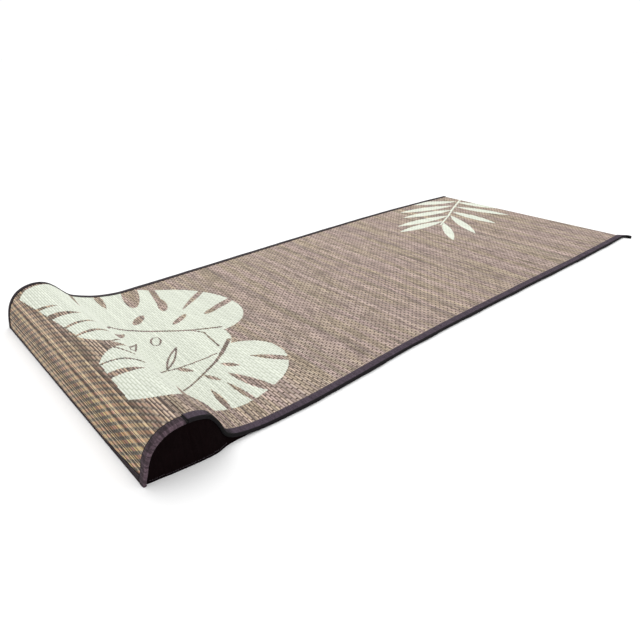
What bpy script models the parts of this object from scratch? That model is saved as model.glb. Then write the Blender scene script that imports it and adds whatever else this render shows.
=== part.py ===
"""Woven rush floor mat with a pillow built in at its head end.

Metres, +Z up, head end towards -X, the near long side towards -Y.
A place on the mat is given by three numbers:
  row    how far along the mat, counted in rows of the table PROFILE,
  across how far from the near side,
  depth  how far under the face of the rush, along its normal.
"""

import bpy
import bmesh
from mathutils import Vector

# Sizes of the whole mat
LENGTH = 1.500
WIDTH = 0.600

# Cloths, and the space that touching pieces keep
RUSH = 0.0047
TAPE = 0.0008
PANEL = 0.0020
GAP = 0.0003

# Binding: a folded tape that clasps the squeezed edge of the rush
BAND = {"near": 0.017, "far": 0.012}
FLANGE = 0.015
FLANGE_ON_PILLOW = 0.0031
RUSH_EDGE = RUSH - TAPE - GAP
RUSH_SIDE = TAPE + GAP
SQUEEZE_FROM = 0.018
SQUEEZE_TO = 0.024
TAPE_JOIN = 8

# The head tape shows most at the near corner
HEAD_TAPE_NEAR = 0.011
HEAD_TAPE_REST = 0.004
HEAD_TAPE_TAPER = 0.120
HEAD_TAPE_STEPS = 3

# End panels stand a little inside the lip of the binding
PANEL_INSET = 0.0040
PILLOW_INSET = PANEL_INSET + PANEL + GAP
PILLOW_TAIL = 17.6
PANEL_TAIL = 18.0
FLANGE_FROM = 18.1

# Face of the rush at the near and far sides, in mm from the head edge and the floor,
# and how far each side bulges outwards from a straight line there.
# near_x, near_z, far_x, far_z, near_out, far_out
PROFILE = (
    (0.0, 1.1, 7.0, 1.1, 0.0, 0.0),
    (1.5, 10.0, 8.5, 12.0, 0.0, 0.0),
    (4.5, 20.0, 10.5, 24.0, 0.2, 0.0),
    (8.0, 34.0, 14.5, 39.0, 0.5, 0.0),
    (14.0, 48.0, 21.5, 54.0, 0.8, 0.0),
    (25.0, 61.0, 34.0, 68.0, 1.2, 0.0),
    (39.0, 70.5, 50.0, 76.5, 2.0, 0.0),
    (55.0, 75.3, 67.0, 79.8, 2.6, 0.0),
    (73.0, 76.3, 83.0, 79.0, 3.4, 0.0),
    (92.0, 74.2, 98.0, 74.0, 4.2, 0.0),
    (108.0, 68.2, 111.0, 64.0, 4.8, 0.0),
    (118.0, 57.5, 122.0, 52.0, 4.6, 0.0),
    (125.5, 45.0, 132.0, 41.0, 3.4, 0.0),
    (131.0, 32.0, 142.0, 33.0, 2.0, 0.0),
    (136.5, 21.0, 155.0, 27.0, 1.0, 0.5),
    (145.0, 13.5, 171.0, 21.0, 1.2, 1.0),
    (158.0, 9.2, 190.0, 15.0, 2.4, 1.5),
    (174.0, 6.8, 212.0, 10.2, 4.0, 2.0),
    (192.0, 5.3, 236.0, 6.6, 5.6, 2.6),
    (216.0, 4.7, 262.0, 4.7, 7.2, 3.2),
    (260.0, 4.7, 300.0, 4.7, 8.6, 4.0),
)

# The near side reaches this much further at the foot, so the foot edge is askew
FOOT_FURTHER = 0.016

# Rows of the flat part, in mm: near_x, far_x, near_out, far_out
FLAT = (
    (330.0, 330.0, 8.4, 4.8),
    (400.0, 400.0, 6.4, 6.0),
    (480.0, 480.0, 2.6, 8.0),
    (570.0, 570.0, -1.0, 10.5),
    (671.0, 670.0, -2.6, 13.0),
    (792.0, 790.0, -2.8, 16.0),
    (924.0, 920.0, -2.2, 18.5),
    (1067.0, 1060.0, -1.2, 20.0),
    (1220.0, 1210.0, 0.0, 19.0),
    (1373.0, 1360.0, -0.5, 13.0),
    ((LENGTH + FOOT_FURTHER) * 1000.0, LENGTH * 1000.0, -3.0, 4.0),
)

# Free end of the near tape past the foot edge:
# mm past the edge, mm moved outwards, width of the tape, mm that its top sinks (below 0: rises)
TAIL_STEPS = (
    (3.0, 2.0, 15.0, 0.0),
    (6.5, 9.0, 12.0, -1.2),
    (10.0, 18.0, 10.0, -2.4),
)

# Where the rush is divided across the mat, between the squeezed edges
COLUMNS = 9

# Faces that meet at a sharper turn than this are shaded apart
SHARP_TURN = 0.7

MM = 0.001
EPSILON = 0.01


def rows():
    """All rows of the mat as near_x, near_z, far_x, far_z, near_out, far_out in metres."""
    table = list(PROFILE)
    for near_x, far_x, near_out, far_out in FLAT:
        table.append((near_x, RUSH / MM, far_x, RUSH / MM, near_out, far_out))
    return [[value * MM for value in row] for row in table]


ROWS = rows()
LAST = float(len(ROWS) - 1)


def blend(a, b, share):
    return a + (b - a) * share


def spline(row):
    """Smooth values and slopes of the table at a row that may lie between two others."""
    i = min(max(int(row), 0), len(ROWS) - 2)
    t = row - i
    p1 = ROWS[i]
    p2 = ROWS[i + 1]
    p0 = ROWS[i - 1] if i > 0 else [2 * a - b for a, b in zip(p1, p2)]
    p3 = ROWS[i + 2] if i + 2 < len(ROWS) else [2 * b - a for a, b in zip(p1, p2)]
    values = []
    slopes = []
    for a, b, c, d in zip(p0, p1, p2, p3):
        m1 = (c - a) / 2
        m2 = (d - b) / 2
        k3 = 2 * b - 2 * c + m1 + m2
        k2 = 3 * c - 3 * b - 2 * m1 - m2
        values.append(b + m1 * t + k2 * t * t + k3 * t ** 3)
        slopes.append(m1 + 2 * k2 * t + 3 * k3 * t * t)
    return values, slopes


def place(row, across, depth):
    """A point of the mat, never under the floor."""
    values, slopes = spline(row)
    near_x, near_z, far_x, far_z, near_out, far_out = values
    share = across / WIDTH
    x = blend(near_x, far_x, share)
    z = blend(near_z, far_z, share)
    along = Vector((blend(slopes[0], slopes[2], share), blend(slopes[1], slopes[3], share)))
    along.normalize()
    x += along.y * depth
    z -= along.x * depth
    y = across - WIDTH / 2 + blend(-near_out, far_out, share)
    return Vector((x, y, max(z, 0.0)))


def stations(first, last):
    """Rows from first to last: every half row on the pillow, whole rows on the flat."""
    found = [first]
    row = int(first * 2 + 1) / 2
    while row < last - EPSILON:
        if row > first + EPSILON:
            found.append(row)
        row += 0.5 if row < len(PROFILE) - 1 else 1.0
    return found + [last]


def columns(edge):
    """Places across the mat from one squeezed edge to the other."""
    inner = [
        blend(SQUEEZE_TO, WIDTH - SQUEEZE_TO, i / (COLUMNS - 1)) for i in range(COLUMNS)
    ]
    return edge + inner + [WIDTH - value for value in reversed(edge)]


def cloth(name, colour, roughness):
    material = bpy.data.materials.new(name)
    material.use_nodes = True
    shader = material.node_tree.nodes["Principled BSDF"]
    shader.inputs["Base Color"].default_value = (*colour, 1.0)
    shader.inputs["Roughness"].default_value = roughness
    shader.inputs["Metallic"].default_value = 0.0
    return material


def loft(name, rings, material):
    """One closed solid through rings of points that all have the same count."""
    mesh = bmesh.new()
    made = [[mesh.verts.new(point) for point in ring] for ring in rings]
    count = len(made[0])
    for a, b in zip(made, made[1:]):
        for i in range(count):
            j = (i + 1) % count
            mesh.faces.new((a[i], b[i], b[j]))
            mesh.faces.new((a[i], b[j], a[j]))
    mesh.faces.new(made[0])
    mesh.faces.new(list(reversed(made[-1])))
    bmesh.ops.recalc_face_normals(mesh, faces=mesh.faces)
    data = bpy.data.meshes.new(name)
    mesh.to_mesh(data)
    mesh.free()
    data.materials.append(material)
    data.shade_smooth()
    data.set_sharp_from_angle(angle=SHARP_TURN)
    item = bpy.data.objects.new(name, data)
    bpy.context.scene.collection.objects.link(item)
    return item


def rush_depth(across):
    """Depth of the back of the rush: less where the binding squeezes its edge."""
    inward = min(across, WIDTH - across)
    share = (inward - SQUEEZE_FROM) / (SQUEEZE_TO - SQUEEZE_FROM)
    return blend(RUSH_EDGE, RUSH, min(max(share, 0.0), 1.0))


def rush_mat():
    """The rush cloth: each ring goes over its face and back under it, at one row."""
    across = columns([RUSH_SIDE, SQUEEZE_FROM])
    rings = []
    for row in stations(0.0, LAST):
        face = [place(row, value, 0.0) for value in across]
        back = [place(row, value, rush_depth(value)) for value in reversed(across)]
        rings.append(face + back)
    for point in rings[0]:
        point.z = TAPE + GAP
    return loft("rush_mat", rings, cloth("woven_rush", (0.39, 0.33, 0.28), 0.75))


def d_section(name, across, depth, tail, material):
    """A solid under the rush: each ring is its outline at one place across the mat."""
    rings = []
    for value in across:
        top = [place(row, value, depth) for row in stations(0.0, tail)]
        heel = Vector((top[0].x, top[0].y, 0.0))
        toe = Vector((top[-1].x, top[-1].y, 0.0))
        rings.append([heel] + top + [toe])
    return loft(name, rings, material)


def pillow():
    across = columns([PILLOW_INSET])
    return d_section(
        "pillow", across, RUSH + GAP, PILLOW_TAIL, cloth("pad_cloth", (0.03, 0.027, 0.028), 0.9)
    )


def end_panel(side):
    across = [PANEL_INSET, PANEL_INSET + PANEL]
    if side == "far":
        across = [WIDTH - value for value in across]
    depth = RUSH_EDGE + GAP
    material = cloth("panel_cloth_" + side, (0.012, 0.010, 0.011), 0.9)
    return d_section("end_panel_" + side, across, depth, PANEL_TAIL, material)


def tape_section(row, side, outward=0.0, band=None, sink=0.0, past=0.0):
    """The folded tape at one row: over the rush, round its side and back under it."""
    band = band or BAND[side]
    past_panel = min(max(row - FLANGE_FROM, 0.0), 1.0)
    wide = min(blend(FLANGE_ON_PILLOW, FLANGE, past_panel), band)
    top = sink - TAPE - GAP
    under = RUSH_EDGE + GAP
    corners = (
        (band, top),
        (0.0, top),
        (0.0, under + TAPE),
        (wide, under + TAPE),
        (wide, under),
        (TAPE, under),
        (TAPE, top + TAPE),
        (band, top + TAPE),
    )
    ring = []
    for across, depth in corners:
        across -= outward
        if side == "far":
            across = WIDTH - across
        ring.append(place(row, across, depth) + Vector((past, 0.0, 0.0)))
    return ring


def tape(name, side, first, last, free_end=()):
    rings = [tape_section(row, side) for row in stations(first, last)]
    for past, outward, band, sink in free_end:
        rings.append(tape_section(last, side, outward * MM, band * MM, sink * MM, past * MM))
    return loft(name, rings, cloth(name + "_tape", (0.085, 0.066, 0.080), 0.85))


def head_tape():
    """The tape on the lower edge of the head: up its face, and under its cut edge."""
    across = [BAND["near"] + GAP] + columns([]) + [WIDTH - BAND["far"] - GAP]
    rings = []
    for value in across:
        height = blend(HEAD_TAPE_NEAR, HEAD_TAPE_REST, min(value / HEAD_TAPE_TAPER, 1.0))
        top = (height - ROWS[0][1]) / (ROWS[1][1] - ROWS[0][1])
        levels = [top * step / HEAD_TAPE_STEPS for step in range(HEAD_TAPE_STEPS + 1)]
        outer = [place(row, value, -TAPE - GAP) for row in reversed(levels)]
        inner_face = [place(row, value, -GAP) for row in levels]
        low_out = Vector((outer[-1].x, outer[-1].y, 0.0))
        low_in = Vector((place(0.0, value, RUSH_EDGE).x, low_out.y, 0.0))
        fold_in = Vector((low_in.x, low_in.y, TAPE))
        inner_face[0].z = TAPE
        rings.append(outer + [low_out, low_in, fold_in] + inner_face)
    return loft("binding_head", rings, cloth("binding_head_tape", (0.060, 0.046, 0.056), 0.85))


def centre_on_floor(items):
    """Moves all pieces alike, so that the box around them stands on the origin."""
    points = [vertex.co for item in items for vertex in item.data.vertices]
    middle = Vector((0.0, 0.0, 0.0))
    middle.x = (min(p.x for p in points) + max(p.x for p in points)) / 2
    middle.y = (min(p.y for p in points) + max(p.y for p in points)) / 2
    for item in items:
        for vertex in item.data.vertices:
            vertex.co = vertex.co - middle


def build():
    for item in list(bpy.data.objects):
        bpy.data.objects.remove(item)
    to_floor = -ROWS[0][1] / (ROWS[1][1] - ROWS[0][1])
    items = [rush_mat(), pillow(), head_tape()]
    for side, free_end in (("near", TAIL_STEPS), ("far", ())):
        items.append(end_panel(side))
        items.append(tape("binding_" + side + "_pillow", side, to_floor, TAPE_JOIN))
        start = TAPE_JOIN + 2 * GAP / (ROWS[TAPE_JOIN + 1][0] - ROWS[TAPE_JOIN][0])
        items.append(tape("binding_" + side + "_side", side, start, LAST, free_end))
    centre_on_floor(items)


build()
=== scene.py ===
# %% [markdown]
# # A woven rush mat with a pillow sewn in
# The real object is a sleeping mat. One long cloth of rush strands, held by a cotton warp,
# runs over a filled pad at the head end and lies flat for the rest of its length.
# A folded tape binds the two long sides, and large pale leaves are woven into the face.
# This lesson dresses the solids of that mat: it makes each cloth again as a fine mesh in the
# same place, and gives every cloth a material worked out from its own weave.

# %% Load the solids
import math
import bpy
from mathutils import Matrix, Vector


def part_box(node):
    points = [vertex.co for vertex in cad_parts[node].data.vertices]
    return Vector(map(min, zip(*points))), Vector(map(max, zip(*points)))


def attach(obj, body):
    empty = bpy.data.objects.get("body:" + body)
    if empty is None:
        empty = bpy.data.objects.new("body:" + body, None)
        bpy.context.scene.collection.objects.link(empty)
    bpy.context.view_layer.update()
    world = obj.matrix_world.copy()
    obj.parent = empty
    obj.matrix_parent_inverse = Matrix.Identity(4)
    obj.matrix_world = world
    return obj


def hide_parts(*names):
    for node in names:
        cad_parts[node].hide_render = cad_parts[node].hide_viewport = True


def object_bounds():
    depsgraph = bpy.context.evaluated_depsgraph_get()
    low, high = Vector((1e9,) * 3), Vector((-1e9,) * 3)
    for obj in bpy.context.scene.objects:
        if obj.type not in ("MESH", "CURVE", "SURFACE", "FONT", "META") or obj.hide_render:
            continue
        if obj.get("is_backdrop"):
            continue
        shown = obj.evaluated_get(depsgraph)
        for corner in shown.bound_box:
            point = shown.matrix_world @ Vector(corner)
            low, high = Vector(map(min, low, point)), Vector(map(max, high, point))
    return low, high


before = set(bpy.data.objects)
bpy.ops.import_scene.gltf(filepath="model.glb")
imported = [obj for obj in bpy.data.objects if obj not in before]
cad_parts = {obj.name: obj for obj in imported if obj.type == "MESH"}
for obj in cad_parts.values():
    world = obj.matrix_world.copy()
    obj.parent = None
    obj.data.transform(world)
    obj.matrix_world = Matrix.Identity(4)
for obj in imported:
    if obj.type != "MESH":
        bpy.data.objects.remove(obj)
cad_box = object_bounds()

# %% [markdown]
# ## Sizes
# Every cloth of the mat lies on one guiding surface, the face of the rush. It could be read
# from the loaded solids, but their facets are coarse. So the few sections that shaped them
# stand here again, and a smooth curve through these sections gives as fine a mesh as wanted.
# Only the places of the head end and of the near side come from the solids.

# %% Sizes and the sections of the face
from types import SimpleNamespace

import bpy
import numpy as np
from mathutils import Matrix, Vector

MM = 0.001
CM = 0.01
LENGTH = 1.500
WIDTH = 0.600

# Thickness of each cloth, and the air left between two of them
RUSH = 4.7 * MM
TAPE = 0.8 * MM
PANEL = 2.0 * MM
GAP = 0.3 * MM

# The rush under the tape: how thick it is pressed, how far it stays from the side, and
# the stretch over which it grows to its full thickness
RUSH_EDGE = RUSH - TAPE - GAP
RUSH_SIDE = TAPE + GAP
SQUEEZE_FROM = 18 * MM
SQUEEZE_TO = 24 * MM

# How much further the near side reaches at the foot, and where the near head corner lies
FOOT_FURTHER = 16 * MM
HEAD_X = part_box("rush_mat")[1].x - LENGTH - FOOT_FURTHER
NEAR_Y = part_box("binding_far_pillow")[1].y - WIDTH

# Face of the rush at the near and far sides, in mm from the head edge and the floor,
# and how far each side bulges outwards from a straight line there.
# near_x, near_z, far_x, far_z, near_out, far_out
PROFILE = (
    (0.0, 1.1, 7.0, 1.1, 0.0, 0.0),
    (1.5, 10.0, 8.5, 12.0, 0.0, 0.0),
    (4.5, 20.0, 10.5, 24.0, 0.2, 0.0),
    (8.0, 34.0, 14.5, 39.0, 0.5, 0.0),
    (14.0, 48.0, 21.5, 54.0, 0.8, 0.0),
    (25.0, 61.0, 34.0, 68.0, 1.2, 0.0),
    (39.0, 70.5, 50.0, 76.5, 2.0, 0.0),
    (55.0, 75.3, 67.0, 79.8, 2.6, 0.0),
    (73.0, 76.3, 83.0, 79.0, 3.4, 0.0),
    (92.0, 74.2, 98.0, 74.0, 4.2, 0.0),
    (108.0, 68.2, 111.0, 64.0, 4.8, 0.0),
    (118.0, 57.5, 122.0, 52.0, 4.6, 0.0),
    (125.5, 45.0, 132.0, 41.0, 3.4, 0.0),
    (131.0, 32.0, 142.0, 33.0, 2.0, 0.0),
    (136.5, 21.0, 155.0, 27.0, 1.0, 0.5),
    (145.0, 13.5, 171.0, 21.0, 1.2, 1.0),
    (158.0, 9.2, 190.0, 15.0, 2.4, 1.5),
    (174.0, 6.8, 212.0, 10.2, 4.0, 2.0),
    (192.0, 5.3, 236.0, 6.6, 5.6, 2.6),
    (216.0, 4.7, 262.0, 4.7, 7.2, 3.2),
    (260.0, 4.7, 300.0, 4.7, 8.6, 4.0),
)

# Sections of the flat part, in mm: near_x, far_x, near_out, far_out.
# The near side reaches further at the foot, so the foot edge is askew.
FLAT = (
    (330.0, 330.0, 8.4, 4.8),
    (400.0, 400.0, 6.4, 6.0),
    (480.0, 480.0, 2.6, 8.0),
    (570.0, 570.0, -1.0, 10.5),
    (671.0, 670.0, -2.6, 13.0),
    (792.0, 790.0, -2.8, 16.0),
    (924.0, 920.0, -2.2, 18.5),
    (1067.0, 1060.0, -1.2, 20.0),
    (1220.0, 1210.0, 0.0, 19.0),
    (1373.0, 1360.0, -0.5, 13.0),
    ((LENGTH + FOOT_FURTHER) / MM, LENGTH / MM, -3.0, 4.0),
)

# Sections where the tape is joined, where the pad ends and where the end panel ends
TAPE_JOIN = 8.0
PILLOW_TAIL = 17.6
PANEL_TAIL = 18.0

# How far the end panels and the pad lie inside the two sides
PANEL_INSET = 4.0 * MM
PILLOW_INSET = PANEL_INSET + PANEL + GAP

flat_rows = [(a, RUSH / MM, b, RUSH / MM, near, far) for a, b, near, far in FLAT]
SECTIONS = np.array([*PROFILE, *flat_rows]) * MM
LAST = float(len(SECTIONS) - 1)
print("sections of the face:", len(SECTIONS))

# %% [markdown]
# ## The guiding surface
# A place on the mat is a row (how far along, counted in sections), a distance across from
# the near side and a depth under the face. A Catmull-Rom curve passes through each section
# and needs no handles, which suits a table of measured sections. The functions take whole
# arrays, so a mesh of a hundred thousand points is placed in one call.

# %% Places on the mat
FINE_ROWS = 4001


def blend(a, b, share):
    return a + (b - a) * share


def smooth_step(value, low, high):
    share = np.clip((value - low) / (high - low), 0.0, 1.0)
    return share * share * (3 - 2 * share)


def section_at(row):
    """Smooth values and slopes of the six columns at rows between the sections."""
    row = np.asarray(row, float)
    before = 2 * SECTIONS[0] - SECTIONS[1]
    after = 2 * SECTIONS[-1] - SECTIONS[-2]
    table = np.vstack([before, SECTIONS, after])
    i = np.clip(row.astype(int), 0, len(SECTIONS) - 2)
    t = (row - i)[..., None]
    a, b, c, d = (table[i + k] for k in range(4))
    m1 = (c - a) / 2
    m2 = (d - b) / 2
    k3 = 2 * b - 2 * c + m1 + m2
    k2 = 3 * c - 3 * b - 2 * m1 - m2
    values = b + m1 * t + k2 * t**2 + k3 * t**3
    slopes = m1 + 2 * k2 * t + 3 * k3 * t**2
    return values, slopes


def place(row, across, depth=0.0):
    """Points of the mat, never under the floor."""
    row, across, depth = np.broadcast_arrays(row, across, depth)
    values, slopes = section_at(row)
    share = across / WIDTH
    along_x = blend(slopes[..., 0], slopes[..., 2], share)
    along_z = blend(slopes[..., 1], slopes[..., 3], share)
    size = np.hypot(along_x, along_z)
    x = blend(values[..., 0], values[..., 2], share) + along_z / size * depth
    z = blend(values[..., 1], values[..., 3], share) - along_x / size * depth
    y = across + blend(-values[..., 4], values[..., 5], share)
    return np.stack([HEAD_X + x, NEAR_Y + y, np.maximum(z, 0.0)], -1)


def rows_along(across, first, last, step):
    """Rows that stand about one step apart along the face, and how far along each is."""
    fine = np.linspace(first, last, FINE_ROWS)
    line = place(fine, across)
    steps = np.linalg.norm(np.diff(line, axis=0), axis=1)
    lengths = np.concatenate([[0.0], np.cumsum(steps)])
    count = max(2, round(lengths[-1] / step) + 1)
    stops = np.linspace(0.0, lengths[-1], count)
    return np.interp(stops, lengths, fine), stops


FACE_LENGTH = rows_along(WIDTH / 2, 0.0, LAST, MM)[1][-1]
print(f"length of the face over the pillow: {FACE_LENGTH:.4f} m")

# %% [markdown]
# ## One way to make a cloth
# Rush, tape and pad are all long cloths with a section that changes little on the way.
# So each is a loft: rings of points, joined ring to ring and closed at both ends. The rings
# are one numpy array, and the faces follow from its shape.
# Each point also keeps where it lies in the weave, in cm, under the name "lay": along, across and
# from the nearest join, where the tape gets a painted shadow. The material reads it, so the
# pattern follows the cloth over the pillow.

# %% Lofts
FAR_FROM_JOIN = 9.0


def plain_lay(rings, along, across):
    """Where the points of a cloth that has no join near lie in its weave."""
    lay = np.full(rings.shape, FAR_FROM_JOIN)
    lay[..., 0] = along / CM
    lay[..., 1] = across / CM
    return lay


def turned_out(points, faces):
    """The faces of a closed form with their fronts on the outside."""
    a, b, c = (points[faces[:, k]] for k in range(3))
    d = points[faces[:, 3]]
    volume = np.einsum("ij,ij->", a, np.cross(b, c)) + np.einsum("ij,ij->", a, np.cross(c, d))
    return faces if volume > 0 else faces[:, ::-1]


def new_piece(name, points, faces, finishes, lay=None, finish_of=None):
    mesh = bpy.data.meshes.new(name)
    mesh.from_pydata(points.reshape(-1, 3).tolist(), [], faces)
    if lay is not None:
        layer = mesh.attributes.new("lay", "FLOAT_VECTOR", "POINT")
        layer.data.foreach_set("vector", lay.astype(np.float32).ravel())
    for finish in finishes:
        mesh.materials.append(finish)
    if finish_of is not None:
        mesh.polygons.foreach_set("material_index", finish_of)
    mesh.shade_smooth()
    mesh.update()
    made = bpy.data.objects.new(name, mesh)
    bpy.context.scene.collection.objects.link(made)
    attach(made, "root")
    return made


def loft(name, rings, finishes, lay=None, finish_around=None):
    """A closed cloth through rings of points."""
    count, around = rings.shape[:2]
    start = np.arange(count - 1)[:, None] * around
    here = np.arange(around)
    then = (here + 1) % around
    corners = [start + here, start + around + here, start + around + then, start + then]
    quads = turned_out(rings.reshape(-1, 3), np.stack(corners, -1).reshape(-1, 4))
    flip = quads[0, 0] != 0
    first_cap = here[::-1] if flip else here
    last_cap = (here if flip else here[::-1]) + (count - 1) * around
    faces = [*quads.tolist(), first_cap.tolist(), last_cap.tolist()]
    finish_of = None
    if finish_around is not None:
        finish_of = [*np.tile(finish_around, count - 1).tolist(), 0, 0]
    return new_piece(name, rings, faces, finishes, lay, finish_of)


# %% [markdown]
# ## Shader maths as Python
# A weave is arithmetic: which strand, which crossing, which one lies on top. Wired by hand
# that is a tangle of Math nodes. Here a wire stands for a node's output, and Python's own
# operators add the node for each sum, also where the number stands first, as in 1 - wire.

# %% Wires
class Wire:
    """The output of a node in a finish, which can be reckoned with."""

    def __init__(self, finish, socket):
        self.finish = finish
        self.socket = socket

    def __add__(self, other):
        return self.finish.math("ADD", self, other)

    def __sub__(self, other):
        return self.finish.math("SUBTRACT", self, other)

    def __rsub__(self, other):
        return self.finish.math("SUBTRACT", other, self)

    def __mul__(self, other):
        return self.finish.math("MULTIPLY", self, other)

    def __truediv__(self, other):
        return self.finish.math("DIVIDE", self, other)

    def __lt__(self, other):
        return self.finish.math("LESS_THAN", self, other)

    def __mod__(self, other):
        return self.finish.math("MODULO", self, other)

    def __abs__(self):
        return self.finish.math("ABSOLUTE", self)

    __radd__ = __add__
    __rmul__ = __mul__


# %% [markdown]
# ## Finishes
# A finish is a material in the making. Numbers go through Math nodes, but colours and points
# are mixed by Mix and Vector Math, because a Math node would turn them into one grey number.
# Every other node comes from one method, which first chooses the node's settings, since they
# decide which sockets it has, and then fills its sockets with values or wires.

# %% Finishes
class Finish:
    """A material in the making. What stays the same all over is set on its shader."""

    def __init__(self, name, **fixed):
        self.material = bpy.data.materials.new(name)
        self.material.use_nodes = True
        self.nodes = self.material.node_tree.nodes
        self.links = self.material.node_tree.links
        self.shader = self.nodes["Principled BSDF"]
        for socket, value in fixed.items():
            self.shader.inputs[socket.replace("_", " ")].default_value = value

    def node(self, kind, settings=None, inputs=None, output=0):
        """Any node: its type, its settings, then the values or wires of its sockets."""
        made = self.nodes.new(kind)
        for name, value in (settings or {}).items():
            setattr(made, name, value)
        for name, value in (inputs or {}).items():
            self.connect(made.inputs[name], value)
        return Wire(self, made.outputs[output])

    def connect(self, socket, value):
        if isinstance(value, Wire):
            self.links.new(value.socket, socket)
        else:
            socket.default_value = value

    def math(self, operation, *values, clamp=False):
        settings = {"operation": operation, "use_clamp": clamp}
        return self.node("ShaderNodeMath", settings, dict(enumerate(values)))

    def lower(self, a, b):
        return self.math("MINIMUM", a, b)

    def higher(self, a, b):
        return self.math("MAXIMUM", a, b)

    def whole(self, value):
        """The number of the strand or thread that a place lies in."""
        return self.math("FLOOR", value)

    def off_middle(self, value):
        """0 in the middle of every strand or thread, and 1 where two of them meet."""
        return abs(self.math("FRACT", value) - 0.5) * 2

    def vector(self, operation, *values, output=0):
        settings = {"operation": operation}
        return self.node("ShaderNodeVectorMath", settings, dict(enumerate(values)), output)

    def mix(self, share, a, b):
        """Colour a where the share is 0 and colour b where it is 1."""
        inputs = {0: share, 6: self.colour(a), 7: self.colour(b)}
        return self.node("ShaderNodeMix", {"data_type": "RGBA"}, inputs, 2)

    def tint(self, colour, factor):
        """A colour made lighter or darker by a number."""
        inputs = {0: colour, "Scale": factor}
        return self.node("ShaderNodeVectorMath", {"operation": "SCALE"}, inputs)

    def colour(self, value):
        return value if isinstance(value, Wire) else (*value, 1.0)

    def step(self, value, low, high):
        """0 below low, 1 above high and smooth between."""
        settings = {"interpolation_type": "SMOOTHSTEP"}
        inputs = {"Value": value, "From Min": low, "From Max": high}
        return self.node("ShaderNodeMapRange", settings, inputs)

    def noise(self, where, scale, detail=2.0, roughness=0.5):
        inputs = {"Vector": where, "Scale": scale, "Detail": detail, "Roughness": roughness}
        return self.node("ShaderNodeTexNoise", {}, inputs)

    def streaks(self, lay, along, across, roughness=0.5):
        """Noise drawn out along the strands: how often it changes per cm each way."""
        return self.noise(self.vector("MULTIPLY", lay, (along, across, 1.0)), 1.0, 2.0, roughness)

    def chance(self, number):
        """A chance number that stays the same as long as its number does."""
        return self.node("ShaderNodeTexWhiteNoise", {"noise_dimensions": "1D"}, {"W": number})

    def finished(self, colour, roughness, height, distance):
        """Wires up what changes over the surface, and gives the material."""
        inputs = {"Height": height, "Distance": distance, "Strength": 1.0}
        bump = self.node("ShaderNodeBump", {}, inputs)
        self.connect(self.shader.inputs["Base Color"], colour)
        self.connect(self.shader.inputs["Roughness"], roughness)
        self.connect(self.shader.inputs["Normal"], bump)
        return self.material


def linear(red, green, blue):
    """A colour as a screen shows it, 0 to 255, as the light that a shader wants."""
    return tuple(((value / 255 + 0.055) / 1.055) ** 2.4 for value in (red, green, blue))


# %% [markdown]
# ## The leaves
# The pale motif is three big split leaves at the pillow and one palm leaf at the foot.
# A painted image could hold it, but it would blur close up and say nothing of its form.
# So it is drawn by ovals, blades and strokes, which the tables list in cm: how far along the
# face from the head, and how far from the near side.

# %% Tables of the leaves
# Ovals of the split leaves: along, across, half length, half width, turn in degrees
LEAF_OVALS = (
    (36.4, 43.2, 15.6, 11.0, -50.0),
    (21.5, 46.0, 20.0, 15.5, 0.0),
    (20.0, 34.0, 10.5, 8.2, 0.0),
    (29.2, 29.4, 11.0, 8.2, -8.0),
    (18.0, 16.8, 9.6, 9.4, 0.0),
    (15.8, 16.4, 9.6, 8.6, 60.0),
    (26.0, 21.0, 9.0, 7.0, 30.0),
    (31.2, 15.6, 13.1, 9.0, 12.0),
)

# The leaves end at the head in two straight lines: from, towards, cut on the left hand
LEAF_CUTS = (
    (9.9, 32.0, 6.4, 60.0),
    (8.2, 4.0, 9.1, 20.0),
)

# Blades cut out of the leaves: along and across of both tips, width
SLOTS = (
    (24.9, 62.0, 24.2, 51.4, 1.5),
    (40.1, 63.0, 33.8, 44.2, 2.2),
    (52.0, 50.8, 38.2, 42.3, 1.4),
    (53.0, 40.6, 41.0, 37.7, 1.8),
    (5.0, 49.6, 11.5, 46.2, 1.1),
    (3.0, 44.4, 14.2, 41.4, 2.0),
    (5.5, 36.4, 16.0, 37.6, 0.8),
    (7.5, 32.4, 17.0, 33.2, 0.9),
    (17.8, 33.8, 22.6, 38.0, 1.5),
    (3.0, 59.4, 13.9, 58.7, 2.0),
    (20.6, 63.0, 16.9, 48.0, 1.1),
    (25.1, 22.2, 27.8, 19.8, 1.3),
    (5.0, 18.6, 14.4, 16.3, 1.6),
    (27.3, 13.3, 26.9, 5.0, 1.25),
    (30.8, 13.5, 32.2, 5.0, 1.0),
    (32.5, 16.0, 36.6, 5.0, 1.9),
    (38.2, 18.1, 44.6, 10.4, 1.5),
    (33.0, 19.2, 35.4, 16.5, 1.1),
    (28.5, 17.8, 30.4, 14.6, 1.0),
    (20.9, 13.6, 18.6, 0.0, 8.6),
    (5.0, 24.4, 13.6, 26.7, 4.2),
)

# Slots with blunt ends: along, across, half length, half width, turn in degrees
BLUNT_SLOTS = (
    (31.5, 57.0, 7.4, 2.0, 74.0),
    (35.4, 47.4, 3.2, 1.3, 68.0),
    (43.3, 38.1, 2.2, 0.75, 12.0),
    (27.8, 43.7, 2.4, 0.95, 49.0),
    (35.3, 39.0, 2.7, 0.75, 25.0),
)

# Blades that are only outlined, listed as the slots are, and an oval, as the blunt slots
OUTLINED = (
    (15.6, 24.0, 23.0, 33.4, 1.7),
    (23.2, 21.7, 29.4, 29.6, 1.5),
)
RINGS = ((26.8, 33.3, 1.9, 1.15, 65.0),)

# Half the width of the two kinds of outline, less for an oval, whose measure falls slowly
OUTLINE = 0.2
RING_OUTLINE = 0.11


def strokes(*points):
    """A bent line as strokes: each point but the first carries the width of the way to it."""
    return [(*a[:2], *b) for a, b in zip(points, points[1:])]


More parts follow.
